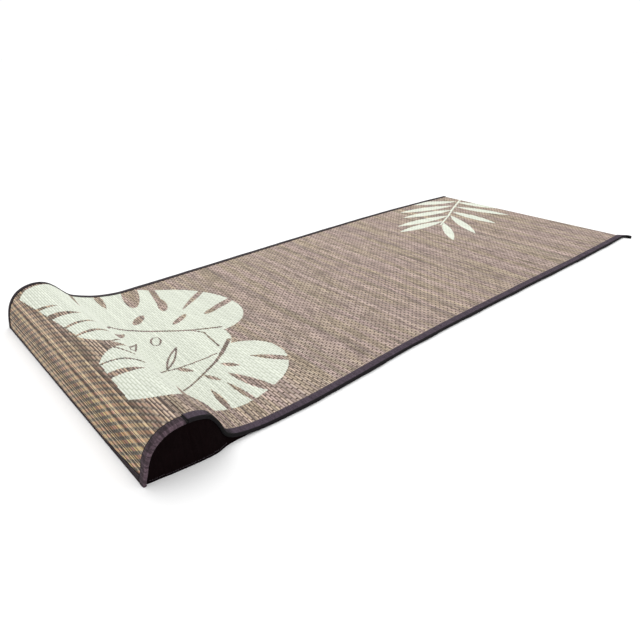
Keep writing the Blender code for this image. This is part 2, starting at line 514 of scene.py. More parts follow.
# Lines where one leaf lies over another: along, across, width of the way to there
VEINS = (
    *strokes((19.3, 39.3), (20.8, 41.1, 0.6), (25.0, 39.4, 0.6), (29.8, 36.7, 0.6)),
    *strokes((29.8, 36.7), (34.5, 33.5, 0.5), (40.4, 30.6, 0.5)),
    *strokes((34.5, 33.5), (36.4, 31.0, 0.35), (35.9, 24.6, 0.35)),
    *strokes((22.0, 14.0), (26.7, 16.8, 0.35), (30.0, 18.8, 0.42), (32.7, 20.3, 0.5)),
    *strokes((32.7, 20.3), (34.8, 21.9, 0.65), (38.6, 25.4, 0.85)),
    *strokes((19.3, 19.4), (23.0, 21.6, 0.35), (28.0, 22.3, 0.35), (34.2, 22.6, 0.35)),
    *strokes((8.9, 21.5), (12.8, 20.6, 0.4), (15.6, 18.8, 0.5)),
    *strokes((12.6, 25.6), (15.4, 22.2, 0.45)),
    *strokes((10.8, 28.4), (14.0, 27.6, 0.4), (16.4, 29.4, 0.4)),
)

# Leaflets of the palm leaf: along and across of the tip and of the base, width
LEAFLETS = (
    (114.5, 43.5, 132.8, 41.7, 2.9),
    (118.3, 47.2, 139.3, 44.1, 3.0),
    (126.5, 51.6, 145.3, 47.3, 3.1),
    (130.3, 55.8, 149.9, 50.3, 3.3),
    (138.1, 61.5, 155.3, 52.6, 3.7),
    (120.0, 29.3, 131.6, 40.6, 2.6),
    (129.9, 28.7, 139.7, 43.8, 2.8),
    (142.9, 30.3, 143.7, 46.0, 3.4),
    (153.8, 32.2, 149.4, 49.0, 3.2),
    (158.6, 38.0, 154.6, 52.2, 3.4),
)
PALM_STEM = strokes((129.4, 40.0), (139.2, 44.1, 0.5), (145.0, 47.1, 0.55), (159.8, 54.0, 0.6))

leaf_tables = (LEAF_OVALS, SLOTS, BLUNT_SLOTS, OUTLINED, RINGS, VEINS, LEAFLETS, PALM_STEM)
print("parts of the leaves:", sum(len(rows) for rows in leaf_tables))

# %% [markdown]
# ## Shapes by distance
# A shader can measure distances, and they are enough to draw these shapes. The points whose
# distances to two spots add up to less than a length fill an oval. The points near to the
# centres of two large circles at once fill a pointed blade, which serves as a slot or a
# leaflet. The points near to a line between two spots fill a stroke, which serves as a vein.
# Each shape is a number that is under 0 inside, so the lower of two numbers joins two shapes
# and the higher keeps what both share.

# %% Ovals, blades, cuts and veins
def spot(along, across):
    return Vector((along, across, 0.0))


def left_of(a, b):
    """The direction to the left hand on the way from a to b."""
    return Vector((a.y - b.y, b.x - a.x, 0.0)).normalized()


def oval(finish, where, along, across, half_length, half_width, turn):
    """Under 0 inside an oval: it has two spots on its long axis."""
    reach = math.sqrt(half_length**2 - half_width**2)
    offset = spot(math.cos(math.radians(turn)), math.sin(math.radians(turn))) * reach
    middle = spot(along, across)
    first = finish.vector("DISTANCE", where, middle + offset, output=1)
    second = finish.vector("DISTANCE", where, middle - offset, output=1)
    return (first + second) * 0.5 - half_length


def blade(finish, where, along_a, across_a, along_b, across_b, width):
    """Under 0 inside a pointed blade, which two large circles cut out of each other."""
    a = spot(along_a, across_a)
    b = spot(along_b, across_b)
    half = (b - a).length / 2
    radius = (half**2 + (width / 2) ** 2) / width
    side = left_of(a, b) * (radius - width / 2)
    middle = (a + b) / 2
    first = finish.vector("DISTANCE", where, middle + side, output=1)
    second = finish.vector("DISTANCE", where, middle - side, output=1)
    return finish.higher(first, second) - radius


def cut(finish, where, along_a, across_a, along_b, across_b):
    """Over 0 on the left hand of a line."""
    a = spot(along_a, across_a)
    left = left_of(a, spot(along_b, across_b))
    return finish.vector("DOT_PRODUCT", where, left, output=1) - left.dot(a)


def vein(finish, where, along_a, across_a, along_b, across_b, width):
    """Under 0 on a stroke with round ends."""
    a = spot(along_a, across_a)
    run = spot(along_b, across_b) - a
    start = finish.vector("SUBTRACT", where, a)
    share = finish.vector("DOT_PRODUCT", start, run / run.length_squared, output=1)
    share = finish.math("ADD", share, 0.0, clamp=True)
    nearest = finish.tint(run, share)
    return finish.vector("DISTANCE", start, nearest, output=1) - width / 2


def lowest(finish, shape, where, rows):
    """The shapes of all rows as one."""
    found = None
    for row in rows:
        made = shape(finish, where, *row)
        found = made if found is None else finish.lower(found, made)
    return found


# %% [markdown]
# ## The threads of the rush
# The face is a three-step twill: strands run across the mat, thin cotton warps cross them,
# and each warp shows on top of every third strand, one strand further at the next warp.
# The remainder of strand number plus warp number, divided by three, says where.
# Dried rush differs from strand to strand. White noise gives the same chance number all over
# one strand, one float of the twill, or one of the three blades that make up a strand.

# %% Threads of the rush
# Distances between strands, between warps, and the width of a warp, in cm
STRAND = 0.45
WARP = 0.67
WARP_WIDTH = 0.17
TWILL = 3
BLADE = STRAND / 3


def weave(finish):
    """Where a point lies in the weave, whole, then along, across and from the join."""
    lay = finish.node("ShaderNodeAttribute", {"attribute_name": "lay"}, output="Vector")
    parts = finish.node("ShaderNodeSeparateXYZ", {}, {0: lay}).socket.node.outputs
    return lay, *(Wire(finish, parts[axis]) for axis in "XYZ")


def find_threads(finish, along, across):
    """Which strand, warp and crossing a point lies in, and their chance numbers."""
    strand = along / STRAND
    warp = across / WARP
    number = finish.whole(strand)
    crossing = number + finish.whole(warp)
    float_at = {0: number, 1: finish.whole(crossing / TWILL)}
    one_float = {"Vector": finish.node("ShaderNodeCombineXYZ", {}, float_at)}
    off_crest = finish.off_middle(strand)
    off_warp = finish.off_middle(warp) * (WARP / 2)
    tied = crossing % TWILL < 0.5
    on_warp = 1 - finish.step(off_warp, WARP_WIDTH * 0.6, WARP_WIDTH * 1.3)
    return SimpleNamespace(
        off_crest=off_crest,
        off_blade=finish.off_middle(along / BLADE),
        highlit_crest=1 - finish.step(off_crest, 0.12, 0.5),
        shaded_crease=finish.step(off_crest, 0.35, 0.95),
        dash=tied * on_warp * (1 - finish.step(off_crest, 0.55, 0.95)),
        twill=finish.off_middle((strand + warp) / TWILL + 1 / 6),
        per_strand=finish.chance(number),
        per_float=finish.node("ShaderNodeTexWhiteNoise", {"noise_dimensions": "2D"}, one_float),
        per_blade=finish.chance(finish.whole(along / BLADE) + 0.5),
        hue=finish.chance(number * 0.37 + 50),
    )


# %% [markdown]
# ## The leaves in the weave
# A leaf can only change colour between two threads. So the shapes are measured from the
# middle of small steps, a blade long and a quarter of a warp wide, and their outline runs
# in these steps as it does on the real mat.

# %% Leaves in the weave
STEP_ACROSS = WARP / 4


def leaf_masks(finish, along, across):
    """1 in the pale leaves, and 1 on the lines where one leaf lies over another."""
    step_along = (finish.whole(along / BLADE) + 0.5) * BLADE
    step_across = (finish.whole(across / STEP_ACROSS) + 0.5) * STEP_ACROSS
    where = finish.node("ShaderNodeCombineXYZ", {}, {0: step_along, 1: step_across})

    def drawn(shape, rows):
        return lowest(finish, shape, where, rows)

    def outlined(form, half_width):
        return abs(form + half_width) - half_width

    whole_leaves = finish.higher(drawn(oval, LEAF_OVALS), drawn(cut, LEAF_CUTS))
    slots = finish.lower(drawn(blade, SLOTS), drawn(oval, BLUNT_SLOTS))
    rims = outlined(drawn(blade, OUTLINED), OUTLINE)
    rims = finish.lower(rims, outlined(drawn(oval, RINGS), RING_OUTLINE))
    lines = finish.lower(rims, drawn(vein, VEINS))
    leaves = finish.higher(whole_leaves, 0 - slots)
    palm = finish.lower(drawn(blade, LEAFLETS), drawn(vein, PALM_STEM))
    return finish.lower(leaves, palm) < 0, finish.higher(whole_leaves, lines) < 0


# %% [markdown]
# ## The colours of the rush
# The tone is reckoned in layers, from large to small: patches of tan and rose, grey strands,
# lighter and darker bits, painted shade in the creases between the strands and between the
# blades, then the warps. The mat doesn't look the same all over. Towards the head single blades
# stand out, and on the front of the pillow the light grazes the twill and shows it as warm and
# dark bands.

# %% Colours of the rush
RUSH_TAN = linear(170, 154, 134)
RUSH_ROSE = linear(170, 150, 143)
RUSH_GREY = linear(150, 143, 128)
# Cream of dried blades, also used as the painted highlight on strand crests.
RUSH_CREAM_AND_HIGHLIGHT = linear(222, 200, 166)
# RUSH_SHADE is painted shade for the creases between strands and the gaps between blades.
RUSH_SHADE = linear(84, 68, 58)
WARP_TONE = linear(66, 52, 45)
TWILL_TAN = linear(192, 142, 98)
TWILL_STRAW = linear(174, 150, 98)
TWILL_ROSE = linear(180, 128, 108)
TWILL_DARK = linear(80, 90, 82)


def find_regions(finish, along, across):
    """1 in each region that looks different, fading to 0 beyond it. Limits are in cm."""
    return SimpleNamespace(
        front=1 - finish.step(along, 4.0, 15.0),
        head=1 - finish.step(along, 6.0, 46.0),
        head_half=1 - finish.step(along, 60.0, 110.0),
        foot_half=finish.step(along, 60.0, 120.0),
        near=1 - finish.step(across, 6.0, 40.0),
    )


# %% [markdown]
# ## Light and dark in the rush
# Each chance number makes its own bit of rush lighter or darker. One loop adds them up, from
# a table of how strongly each acts and how much that changes towards the head.

# %% Light and tone of the strands
def rush_light(finish, lay, along, threads, head):
    """How much lighter or darker a bit of rush is, and the noise of its fibres."""
    settings = {"noise_dimensions": "1D"}
    inputs = {"W": along, "Scale": 0.30, "Detail": 3.0, "Roughness": 0.65}
    bundle = finish.node("ShaderNodeTexNoise", settings, inputs)
    fibre = finish.streaks(lay, 26.0, 1.3, 0.6)
    light = 0.0
    for chance, strength, more_at_head in (
        (threads.per_strand, 0.34, -0.24),
        (threads.per_float, 0.66, -0.22),
        (threads.per_blade, 0.3, 0.6),
        (bundle, 0.6, -0.48),
        (finish.streaks(lay, 2.2, 0.12), 0.5, 0.0),
        (fibre, 0.3, 0.0),
    ):
        light = light + (chance - 0.5) * (strength + head * more_at_head)
    return light, fibre


def rush_tone(finish, lay, light, threads, region):
    """The strands without the warps that cross them, with painted shade in the creases between
    the strands and between the blades.
    """
    patch = finish.streaks(lay, 0.5, 0.045)
    tone = finish.mix(finish.step(patch, 0.35, 0.6), RUSH_TAN, RUSH_ROSE)
    tone = finish.mix(finish.step(threads.hue, 0.55, 1.0) * 0.4, tone, RUSH_GREY)
    warm = finish.mix(finish.step(threads.per_float, 0.3, 0.7), TWILL_TAN, TWILL_STRAW)
    warm = finish.mix(finish.step(threads.hue, 0.6, 0.8), warm, TWILL_ROSE)
    banded = finish.mix(finish.step(threads.twill, 0.3, 0.7), TWILL_DARK, warm)
    tone = finish.mix(region.front * (0.5 + region.near * 0.35), tone, banded)
    level = 1.13 + region.head_half * 0.04 - region.head * 0.18 - region.front * 0.07
    tone = finish.tint(tone, level + light * (1.1 + region.head * 0.35))
    # Painted shade in the creases between the strands, and near the head between the blades.
    tone = finish.mix(threads.shaded_crease * 0.85, tone, RUSH_SHADE)
    shade_between_blades = finish.step(threads.off_blade, 0.45, 1.0) * region.head * 0.4
    return finish.mix(shade_between_blades, tone, RUSH_SHADE)


# %% [markdown]
# ## What lies over the strands
# The warps cross the strands as short dark dashes. At the head some blades dried cream, and the
# crests of some strands carry a painted highlight. In the leaves both strands and warps are
# bleached, so they differ much less.

# %% Warps, cream blades and leaves
LEAF_TONE = linear(224, 228, 215)
# LEAF_SHADE is painted shade in the creases of the leaves, and also the tone of their bleached
# warps.
LEAF_SHADE = linear(184, 190, 172)


def rush_ground(finish, tone, threads, region):
    """The strands with their warps, the pale dried blades that lie on top, and a painted
    highlight on the crests of some strands.
    """
    dash_tone = 0.55 + threads.per_float * 0.4 + region.head_half * 0.14
    dash = threads.dash * dash_tone * (1 - region.front * 0.35)
    pale_blade = finish.step(threads.per_blade, 0.7, 0.92) * (0.07 + region.head * 0.5)
    pale_blade = pale_blade * (1 - finish.step(threads.off_blade, 0.4, 1.0) * region.head)
    # Painted highlight on the crests of some strands near the head.
    crest_highlight = threads.highlit_crest * finish.step(threads.per_strand, 0.75, 0.9)
    cream_and_highlight = finish.higher(pale_blade, crest_highlight * region.head * 0.25)
    return finish.mix(cream_and_highlight, finish.mix(dash, tone, WARP_TONE), RUSH_CREAM_AND_HIGHLIGHT)


def leaf_tone(finish, fibre, threads, region):
    """The bleached strands of the leaves, with painted shade in their creases."""
    light = 0.97 + region.foot_half * 0.07
    light = light + (threads.per_strand - 0.5) * 0.12 + (threads.per_float - 0.5) * 0.08
    light = light + (fibre - 0.5) * 0.16 + (threads.per_blade - 0.5) * 0.08
    # Painted shade in the creases between the bleached strands.
    leaf = finish.mix(threads.shaded_crease * 0.75, LEAF_TONE, LEAF_SHADE)
    leaf = finish.mix(threads.dash * 0.6, leaf, LEAF_SHADE)
    return finish.tint(leaf, light)


# %% [markdown]
# ## The rush finish
# The leaves are laid over the ground, and the lines over both. The finest relief, the warps
# that lie on top and the fibres, is a bump, since the strands alone are ridges of the mesh.

# %% Rush finish
RUSH_BUMP = 0.35 * MM


def rush_finish():
    finish = Finish("woven_rush", Specular_IOR_Level=0.3)
    lay, along, across, _ = weave(finish)
    pale, line = leaf_masks(finish, along, across)
    threads = find_threads(finish, along, across)
    region = find_regions(finish, along, across)
    light, fibre = rush_light(finish, lay, along, threads, region.head)
    tone = rush_tone(finish, lay, light, threads, region)
    ground = rush_ground(finish, tone, threads, region)
    colour = finish.mix(pale, ground, leaf_tone(finish, fibre, threads, region))
    colour = finish.mix(line, colour, finish.tint(tone, 0.62))
    roughness = 0.55 + fibre * 0.2 + threads.shaded_crease * 0.15
    round_strand = 1 - threads.off_crest * threads.off_crest
    height = threads.dash * 0.6 + round_strand * 0.4 + fibre * 0.12
    return finish.finished(colour, roughness, height, RUSH_BUMP)


woven_rush = rush_finish()
print("rush finish:", len(woven_rush.node_tree.nodes), "nodes")

# %% [markdown]
# ## The rush cloth
# Each strand is a real ridge of the mesh, four steps wide, so the edge of the mat against
# the light and a close view both show it. The threads that dip between the crossings are
# finer than a millimetre and stay a bump. The ridges run out under the tape, where sewing
# squeezes them flat. The back is plain, so it needs few points across.

# %% Ridges of the strands
STRAND_COUNT = round(FACE_LENGTH / (STRAND * CM))
STEPS_PER_STRAND = 4
FACE_COLUMNS = 37
BACK_COLUMNS = 7
RIDGE_OVER = 0.40 * MM
RIDGE_UNDER = 0.50 * MM
RIDGE_PRESSED = 0.12
KNOTS = 12
KNOT_HEIGHT = 0.12 * MM


def columns(edge, count):
    """Places across the mat from one pressed edge to the other."""
    inner = np.linspace(SQUEEZE_TO, WIDTH - SQUEEZE_TO, count)
    edge = np.array(edge)
    return np.concatenate([edge, inner, WIDTH - edge[::-1]])


def back_depth(across):
    inward = np.minimum(across, WIDTH - across)
    share = np.clip((inward - SQUEEZE_FROM) / (SQUEEZE_TO - SQUEEZE_FROM), 0.0, 1.0)
    return blend(RUSH_EDGE, RUSH, share)


def ridges(strand, across, draws):
    """Height of the face at places counted in strands."""
    number = np.clip(strand.astype(int), 0, STRAND_COUNT - 1)
    wave = np.sin(math.pi * np.mod(strand, 1.0)) ** 0.8
    thick = draws.uniform(0.8, 1.15, STRAND_COUNT)[number]
    height = blend(-RIDGE_UNDER, RIDGE_OVER * thick, wave)[:, None]
    knots = draws.uniform(-1.0, 1.0, (STRAND_COUNT + 1, KNOTS))
    spots = np.linspace(0.0, WIDTH, KNOTS)
    uneven = np.array([np.interp(across, spots, row) for row in knots])[number]
    inward = np.minimum(across, WIDTH - across)
    free = blend(RIDGE_PRESSED, 1.0, smooth_step(inward, SQUEEZE_FROM - MM, SQUEEZE_TO))
    return (height + uneven * wave[:, None] * KNOT_HEIGHT) * free


print("strands:", STRAND_COUNT)

# %% [markdown]
# ## The backing and the whole cloth
# The back is a felt of one tone, which noise makes uneven. Both finishes are on one mesh: the
# points round each ring say which faces belong to the face and which to the back.

# %% Rush cloth
BACKING_TONE = linear(146, 132, 116)
FELT_BUMP = 0.3 * MM


def backing_finish():
    finish = Finish("backing_cloth", Specular_IOR_Level=0.2, Sheen_Weight=0.1)
    where = finish.node("ShaderNodeTexCoord", output="Object")
    felt = finish.noise(where, 900.0, 3.0, 0.7)
    cloud = finish.noise(where, 25.0, 2.0, 0.5)
    colour = finish.tint(BACKING_TONE, 0.75 + felt * 0.3 + cloud * 0.2)
    return finish.finished(colour, 0.85 + felt * 0.1, felt, FELT_BUMP)


def make_rush():
    draws = np.random.default_rng(11)
    rows = rows_along(WIDTH / 2, 0.0, LAST, FACE_LENGTH / STRAND_COUNT)[0]
    samples = STRAND_COUNT * STEPS_PER_STRAND + 1
    strand = np.linspace(0.0, STRAND_COUNT, samples)
    rows = np.interp(strand, np.arange(len(rows)), rows)
    face = columns([RUSH_SIDE, 10 * MM, SQUEEZE_FROM], FACE_COLUMNS)
    back = columns([RUSH_SIDE, SQUEEZE_FROM], BACK_COLUMNS)[::-1]
    top = place(rows[:, None], face, -ridges(strand, face, draws))
    under = place(rows[:, None], back, back_depth(back))
    rings = np.concatenate([top, under], 1)
    rings[0, :, 2] = TAPE + GAP
    across = np.concatenate([face, back])
    lay = np.zeros(rings.shape)
    lay[..., 0] = (strand * STRAND)[:, None]
    lay[..., 1] = across / CM
    finish_around = np.zeros(len(across), int)
    finish_around[len(face):-1] = 1
    finishes = [woven_rush, backing_finish()]
    made = loft("rush_cloth", rings, finishes, lay, finish_around)
    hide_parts("rush_mat")
    print("rush:", len(made.data.polygons), "faces")
    return made


rush = make_rush()

# %% [markdown]
# ## The cotton of the tape
# The binding is a tape of dark cotton in plain weave, with threads finer than a millimetre.
# Each length has its own finish, because light and shade are painted into it in its own way: the
# tape on the pillow has creases, with painted highlights and shade on them, painted shade along
# its outer edge and a painted highlight where it turns down; the one behind it has painted shade
# where it lies in a hollow and where it turns down; and all have a painted shadow inside the
# join.

# %% Tape finish
TAPE_TONE = linear(84, 72, 84)
TAPE_SHADE = linear(36, 28, 35)
LIP_TONE = linear(72, 58, 64)
FAR_TONE = linear(64, 58, 60)
HEAD_TONE = linear(42, 34, 36)
PANEL_TONE = linear(17, 8, 9)
PANEL_SHADE = linear(7, 3, 4)

# Places in cm: where the near tape lies in the hollow behind the pillow and gets painted shade,
# and across which two tapes turn down, with the light that is left from there on: painted shade
# on the near side, a painted highlight on the lip
HOLLOW_SHADE = (2.8, 10.0)
SIDE_FOLD_SHADE = (1.3, 0.08)
LIP_FOLD_HIGHLIGHT = (1.0, 1.7)

# Over how many cm the painted light changes: at the ends of the hollow's painted shade, at a
# fold, by the painted shadow of a join, at the painted shade of the rim
HOLLOW_SHADE_FADE = 1.2
FOLD_FADE = 0.15
JOIN_SHADOW_FADE = (0.12, 0.3)
RIM_SHADE_FADE = (0.1, 0.26)

# The weave itself: cm from thread to thread, and how high they stand
CLOTH_THREAD = 0.06
COTTON_BUMP = 0.12 * MM


def plain_weave(finish, along, across):
    """How far a point stands up: at each crossing the one or the other thread is on top."""
    along_thread = along / CLOTH_THREAD
    across_thread = across / CLOTH_THREAD
    number = finish.whole(along_thread) + finish.whole(across_thread)
    over = abs(number) % 2 < 0.5
    along_up = (1 - finish.off_middle(along_thread)) * over
    return along_up + (1 - finish.off_middle(across_thread)) * (1 - over)


def cotton_finish(name, tone, shade, fold_light=None, wrinkle_light_strength=0.15, gloss=0.2, rim_shade=1.0, hollow_shade=None):
    """Dark cotton, uneven by chance, with painted highlights and shade: on its creases, along its
    outer edge, in a dip, where it turns down, and as a painted shadow where it runs into a join.
    """
    finish = Finish(name, Specular_IOR_Level=gloss)
    lay, along, across, from_join_shadow = weave(finish)
    raised = plain_weave(finish, along, across)
    cloud = finish.noise(lay, 0.35, 3.0, 0.6)
    fluff = finish.noise(lay, 9.0, 3.0, 0.7)
    # Painted highlights and shade of creases, as streaks across the tape.
    wrinkle_light = finish.noise(finish.vector("MULTIPLY", lay, (2.4, 0.5, 0.0)), 1.0, 2.0, 0.6)
    light = 0.68 + cloud * 0.4 + fluff * 0.25
    light = light + (finish.step(wrinkle_light, 0.35, 0.65) - 0.5) * 2 * wrinkle_light_strength
    # Painted shadow where a tape runs into the join, and on the near tape's loose end.
    light = light * (0.06 + finish.step(from_join_shadow, *JOIN_SHADOW_FADE) * 0.94)
    # Painted shade along the outer edge of the tape, in the gap next to the rush.
    light = light * (rim_shade + finish.step(across, *RIM_SHADE_FADE) * (1 - rim_shade))
    # Painted shade where the near tape lies in the hollow behind the pillow.
    if hollow_shade:
        in_front, behind = (finish.step(along, end, end + HOLLOW_SHADE_FADE) for end in hollow_shade)
        light = light * (1 - (in_front - behind) * 0.75)
    # Past the turn of the tape: painted shade on the near side, a painted highlight on the lip.
    if fold_light:
        turn, light_left = fold_light
        light = light * (1 + finish.step(across, turn, turn + FOLD_FADE) * (light_left - 1))
    # The low spots of the weave take the shade tone: painted shade between the threads.
    colour = finish.tint(finish.mix(finish.step(raised, 0.0, 0.7), shade, tone), light)
    return finish.finished(colour, 0.8 + fluff * 0.15, raised + fluff * 0.5, COTTON_BUMP)


tape_cotton = {
    "near_side": cotton_finish(
        "binding_cotton", TAPE_TONE, TAPE_SHADE, SIDE_FOLD_SHADE, wrinkle_light_strength=0.2, hollow_shade=HOLLOW_SHADE
    ),
    "near_pillow": cotton_finish(
        "lip_cotton", LIP_TONE, TAPE_SHADE, LIP_FOLD_HIGHLIGHT, wrinkle_light_strength=0.5, rim_shade=0.12
    ),
    "far_side": cotton_finish("far_cotton", FAR_TONE, TAPE_SHADE),
    "far_pillow": cotton_finish("far_lip_cotton", HEAD_TONE, TAPE_SHADE),
    "head": cotton_finish("head_cotton", HEAD_TONE, TAPE_SHADE),
}
panel_cotton = cotton_finish("panel_cotton", PANEL_TONE, PANEL_SHADE, gloss=0.02)
print("cotton finishes:", len(tape_cotton) + 1)

# %% [markdown]
# ## The section of the tape
# The tape is folded round the pressed edge of the rush. Its section is the tape's own path:
# over the face, round the fold and back under the mat. The inside of the path follows the
# outside one thickness in, so the fold stays a real layer of cloth.

# %% Tape section
BAND = {"near": 17.0 * MM, "far": 12.0 * MM}
FLANGE = 15.0 * MM
FLANGE_ON_PILLOW = 3.1 * MM
FOLD_RADIUS = 2.2 * MM
FOLD_STEPS = 4
BAND_STEPS = 7
TAPE_TOP = -TAPE - GAP
TAPE_UNDER = RUSH_EDGE + GAP


def tape_path(band, flange, top, under, crown):
    """Across and depth along the tape, from its edge on the face to its edge below."""
    radius = min(FOLD_RADIUS, 0.45 * (under - top))
    share = np.linspace(0.0, 1.0, BAND_STEPS)
    angle = np.linspace(0.0, math.pi / 2, FOLD_STEPS + 2)[1:-1]
    across = [
        blend(band, radius, share),
        radius * (1 - np.sin(angle)),
        [0.0] * 3,
        radius * (1 - np.cos(angle)),
        [radius, flange],
    ]
    depth = [
        top - crown * np.sin(math.pi * share) ** 0.6,
        top + radius * (1 - np.cos(angle)),
        [top + radius, (top + under) / 2, under - radius],
        under - radius * (1 - np.sin(angle)),
        [under, under],
    ]
    return np.concatenate(across), np.concatenate(depth)


def tape_ring(band, flange, crown, sink=0.0):
    """Outer path of the tape, and back along its inner side."""
    across, depth = tape_path(band, flange, TAPE_TOP + sink, TAPE_UNDER + TAPE, crown)
    slope_across = np.gradient(across)
    slope_depth = np.gradient(depth)
    size = np.hypot(slope_across, slope_depth)
    inner_across = across + slope_depth / size * TAPE
    inner_depth = depth - slope_across / size * TAPE
    inner_depth[:BAND_STEPS - 1] = depth[:BAND_STEPS - 1] + TAPE
    inner_depth[-2:] = depth[-2:] - TAPE
    around = np.concatenate([across, inner_across[::-1]])
    return around, np.concatenate([depth, inner_depth[::-1]])


print("points round the tape:", len(tape_ring(BAND["near"], FLANGE, 0.0)[0]))

# %% [markdown]
# ## The tapes along the sides
# Each long side has two lengths of tape, one up over the pillow and one from there to the
# foot. The tape lifts a little between the stitches and is never quite straight, as hand-fed
# tape. Slow waves of chance phases give both. On the pillow the near tape was fed narrower.

# %% Unevenness of the tapes
# The tape stands up by CROWN, give or take PUCKER, and its edge wanders: heights and lengths
CROWN = 0.35 * MM
PUCKER = 0.22 * MM
PUCKER_LENGTH = 13.7 * MM
PUCKER_FADE = 0.09
WANDER = 0.45 * MM
WANDER_LENGTH = 0.31

# Slack pushes the fold outwards here and there, from some way behind the join
SLACK = 1.3 * MM
SLACK_LENGTH = 0.16
SLACK_FROM = 0.12
SLACK_FULL = 0.25

# How much narrower the near tape is on the pillow, at the floor and at the top
NARROW_LOW = 5.0 * MM
NARROW_HIGH = 2.2 * MM


def slow_waves(stops, draws, longest, count=5):
    """A smooth unevenness along a length, between about -1 and 1."""
    total = np.zeros(len(stops))
    for k in range(count):
        phase = draws.uniform(0, 2 * math.pi)
        total += np.sin(2 * math.pi * stops * (k + 1) / longest + phase) / (k + 1)
    return total / 1.6


def narrower(name, rows):
    """How much narrower the tape was fed round the near end of the pillow."""
    if not name.endswith("near_pillow"):
        return rows * 0.0
    return blend(NARROW_LOW, NARROW_HIGH, smooth_step(rows, 0.5, 4.0))


# %% [markdown]
# ## Four lengths of tape
# A ring every few millimetres follows the side of the mat, and the section changes from ring
# to ring: narrower, lifted, or slack. Under the pillow there is no room to turn the tape
# far in, so it reaches only a little way back there. At the foot the near tape runs on past
# the rush and curls outwards.

# %% Long tapes
TAPE_STEP = 3.0 * MM

# Free end of the near tape past the foot edge:
# mm past the edge, mm moved outwards, width of the tape, mm that its top sinks (below 0: rises)
TAIL_STEPS = (
    (1.5, 0.6, 16.0, 0.0),
    (3.0, 2.0, 15.0, 0.0),
    (4.8, 5.0, 13.4, -0.5),
    (6.5, 9.0, 12.0, -1.2),
    (8.3, 13.5, 11.0, -1.9),
    (10.0, 18.0, 10.0, -2.4),
)
# From this many mm past the foot edge, the loose end takes the full painted shadow.
TAIL_SHADOW_FROM = 4 * MM


def tape_rings(name, side, first, rows, stops, free_end):
    """For each ring: its row, the tape's path, how far past the foot and along it stands."""
    draws = np.random.default_rng(len(name) * 7 + int(first))
    wander = slow_waves(stops, draws, WANDER_LENGTH) * WANDER - narrower(name, rows)
    puckers = np.sin(2 * math.pi * stops / PUCKER_LENGTH) * slow_waves(stops, draws, PUCKER_FADE)
    lift = CROWN + PUCKER * puckers
    slack = np.maximum(slow_waves(stops, draws, SLACK_LENGTH, 3), 0.0) * SLACK
    slack *= smooth_step(stops, SLACK_FROM, SLACK_FULL) if first > TAPE_JOIN else 0.0
    rings = []
    for row, stop, off, crown, loose in zip(rows, stops, wander, lift, slack):
        flange = blend(FLANGE_ON_PILLOW, FLANGE, np.clip(row - PANEL_TAIL - 0.1, 0.0, 1.0))
        across, depth = tape_ring(BAND[side] + off, min(flange, BAND[side]), crown)
        across = across - loose * (1 - across / BAND[side])
        rings.append((row, across, depth, 0.0, stop))
    for past, outward, band, sink in np.array(free_end) * MM:
        across, depth = tape_ring(band, min(FLANGE, band), lift[-1] * 0.5, sink)
        rings.append((rows[-1], across - outward, depth, past, stops[-1] + past))
    return rings


def make_tape(name, node, side, first, last, finish, free_end):
    rows, stops = rows_along(0.0 if side == "near" else WIDTH, first, last, TAPE_STEP)
    join = stops[-1] if first < TAPE_JOIN else 0.0
    points = []
    lays = []
    for row, across, depth, past, stop in tape_rings(name, side, first, rows, stops, free_end):
        across = across if side == "near" else WIDTH - across
        points.append(place(row, across, depth) + np.array([past, 0.0, 0.0]))
        walk = np.concatenate([[0.0], np.cumsum(np.hypot(np.diff(across), np.diff(depth)))])
        # The loose end counts as lying in the join, so it takes the painted shadow too.
        from_join_shadow = abs(stop - join) if past <= TAIL_SHADOW_FROM else 0.0
        spread = np.broadcast_arrays(stop, walk, from_join_shadow)
        lays.append(np.stack(spread, -1) / CM)
    made = loft(name, np.array(points), [finish], np.array(lays))
    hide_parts(node)
    print(f"{name}: {stops[-1]:.3f} m long, {len(made.data.polygons)} faces")
    return made, stops[-1]


# The space between two tapes at the join, and how far the first starts under the head edge,
# both counted in sections
JOIN_SPACE = 2 * GAP / (SECTIONS[int(TAPE_JOIN) + 1][0] - SECTIONS[int(TAPE_JOIN)][0])
TO_FLOOR = -SECTIONS[0][1] / (SECTIONS[1][1] - SECTIONS[0][1])
tapes = {}
for side, free_end in (("near", TAIL_STEPS), ("far", ())):
    for part, first, last, tail in (
        ("pillow", TO_FLOOR, TAPE_JOIN, ()),
        ("side", TAPE_JOIN + JOIN_SPACE, LAST, free_end),
    ):
        node = f"binding_{side}_{part}"
        name = f"tape_{side}_{part}"
        finish = tape_cotton[f"{side}_{part}"]
        tapes[node] = make_tape(name, node, side, first, last, finish, tail)

# %% [markdown]
# ## Stitches
# A lockstitch lies on the tape as a row of short beads of thread, each a little sunk at its
# ends. One bead is modelled, and numpy sets a copy at every stitch, turned along the seam
# and standing on the tape. All the beads of one seam are one mesh.

# %% One stitch
THREAD_TONE = linear(60, 50, 60)
PLY_BUMP = 0.05 * MM
BEAD_LENGTH = 2.5 * MM
BEAD_WIDTH = 0.55 * MM
BEAD_SIDES = 6
BEAD_RINGS = (0.0, 0.16, 0.5, 0.84, 1.0)
BEAD_SAG = 0.35 * BEAD_WIDTH


def thread_finish(name, tone):
    finish = Finish(name, Specular_IOR_Level=0.4, Sheen_Weight=0.3)
    where = finish.node("ShaderNodeTexCoord", output="Object")
    ply = finish.noise(where, 1400.0, 2.0, 0.5)
    colour = finish.tint(tone, 0.7 + ply * 0.6)
    return finish.finished(colour, 0.5 + ply * 0.2, ply, PLY_BUMP)


thread = thread_finish("sewing_thread", THREAD_TONE)


